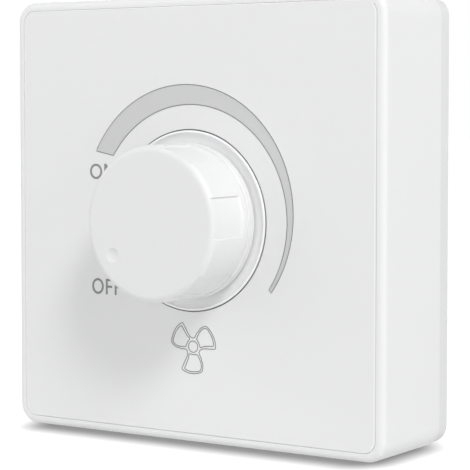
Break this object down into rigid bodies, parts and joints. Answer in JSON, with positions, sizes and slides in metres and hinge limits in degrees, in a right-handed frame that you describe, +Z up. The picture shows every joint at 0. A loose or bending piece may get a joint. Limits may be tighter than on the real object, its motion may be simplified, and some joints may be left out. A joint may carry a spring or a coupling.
{
  "type": "fan speed control switch",
  "caption": "Square surface-mounted wall control for a fan: a deep shell on a back plate, a clipped front plate and a fluted round knob that turns a speed control and an on and off switch.",
  "frame": {"origin": "centre of the two wall screw slots, on the back face that meets the wall", "axes": "+X to the right as seen from the room, +Y into the wall along the knob's axis, +Z up"},
  "size_m": [0.086, 0.0382, 0.086],
  "materials": {
    "back_plastic": "fine moulded grain",
    "shell_plastic": "smooth satin",
    "fascia_plastic": "smooth satin with grey print",
    "dial_plastic": "smooth satin",
    "knob_plastic": "fine satin",
    "rotor_plastic": "natural nylon",
    "switch_plastic": "dark moulding",
    "wafer_laminate": "brown phenolic sheet",
    "board_laminate": "tan laminate with solder mask",
    "black_moulding": "dull epoxy",
    "resistor_coat": "beige lacquer with colour bands",
    "diac_coat": "blue lacquer",
    "capacitor_case": "yellow moulded case",
    "timing_case": "red moulded case",
    "varistor_coat": "blue epoxy",
    "ferrite": "dull iron powder core",
    "terminal_plastic": "smooth moulding",
    "brass_parts": "turned brass",
    "contact_metal": "rolled phosphor bronze",
    "enamelled_wire": "enamelled copper wire",
    "plated_steel": "zinc plated",
    "spring_steel": "oiled spring steel",
    "shaft_metal": "turned, nickel plated",
    "can_metal": "tinned sheet",
    "tinned_metal": "tinned",
    "cap_metal": "nickel plated",
    "zinc_casting": "zinc casting, plated",
    "sink_metal": "rolled sheet",
    "fuse_glass": "clear"
  },
  "bodies": {
    "housing": {"back_plate": "back_plastic", "shell_inserts": "brass_parts", "front_shell": "shell_plastic", "shell_screws": "plated_steel", "fascia_plate": "fascia_plastic", "dial_bezel": "dial_plastic", "pot_bushing": "zinc_casting", "bushing_washer": "plated_steel", "bushing_nut": "plated_steel", "resistor_wafer": "wafer_laminate", "pot_terminals": "tinned_metal", "pot_can": "can_metal", "switch_cup": "switch_plastic", "switch_moving_blade": "contact_metal", "switch_fixed_blade": "contact_metal", "heat_sink": "sink_metal", "triac_tab": "tinned_metal", "triac_body": "black_moulding", "triac_legs": "tinned_metal", "triac_screw": "plated_steel", "triac_nut": "plated_steel", "resistors": "resistor_coat", "diac": "diac_coat", "fuse_tube": "fuse_glass", "fuse_caps": "cap_metal", "film_capacitor": "capacitor_case", "snubber_capacitor": "capacitor_case", "timing_capacitor": "timing_case", "varistor": "varistor_coat", "choke_core": "ferrite", "choke_winding": "enamelled_wire", "terminal_block": "terminal_plastic", "terminal_cages": "brass_parts", "terminal_screws": "plated_steel", "circuit_board": "board_laminate", "board_screws": "plated_steel"},
    "knob": {"knob": "knob_plastic", "knob_spring": "spring_steel", "pot_shaft": "shaft_metal", "shaft_ring": "spring_steel", "wiper_rotor": "rotor_plastic", "wiper": "contact_metal"}
  },
  "joints": [
    {"name": "knob_turn", "type": "hinge", "parent": "housing", "child": "knob", "pos_m": [0, -0.025, 0], "axis": [0, 1, 0], "range_deg": [0, 250]}
  ]
}
